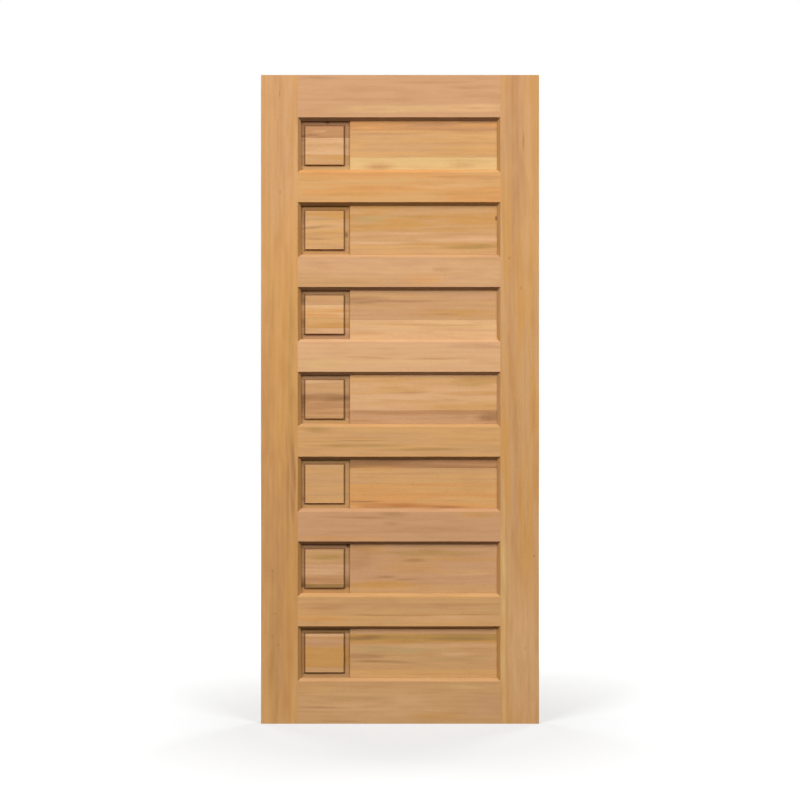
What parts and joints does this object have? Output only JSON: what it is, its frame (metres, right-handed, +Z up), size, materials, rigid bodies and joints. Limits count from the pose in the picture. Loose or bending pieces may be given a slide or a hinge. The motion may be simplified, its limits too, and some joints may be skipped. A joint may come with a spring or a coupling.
{
  "type": "solid wood door",
  "caption": "Solid wood door leaf of coped stiles and rails, with a column of raised square panels beside the hinge stile and flat long panels filling each row.",
  "frame": {"origin": "on the hinge edge, at mid thickness, at the foot of the leaf", "axes": "+X from the hinge edge to the lock edge, -Y out of the front face, +Z up"},
  "size_m": [0.9, 0.044, 2.1],
  "materials": {
    "frame_wood": "satin",
    "square_panel_wood": "satin",
    "long_panel_wood": "satin"
  },
  "bodies": {
    "root": {"left_stile": "frame_wood", "right_stile": "frame_wood", "top_rail": "frame_wood", "cross_rail_1": "frame_wood", "cross_rail_2": "frame_wood", "cross_rail_3": "frame_wood", "cross_rail_4": "frame_wood", "cross_rail_5": "frame_wood", "cross_rail_6": "frame_wood", "bottom_rail": "frame_wood", "square_panel_1": "square_panel_wood", "square_panel_2": "square_panel_wood", "square_panel_3": "square_panel_wood", "square_panel_4": "square_panel_wood", "square_panel_5": "square_panel_wood", "square_panel_6": "square_panel_wood", "square_panel_7": "square_panel_wood", "long_panel_1": "long_panel_wood", "long_panel_2": "long_panel_wood", "long_panel_3": "long_panel_wood", "long_panel_4": "long_panel_wood", "long_panel_5": "long_panel_wood", "long_panel_6": "long_panel_wood", "long_panel_7": "long_panel_wood"}
  },
  "joints": []
}
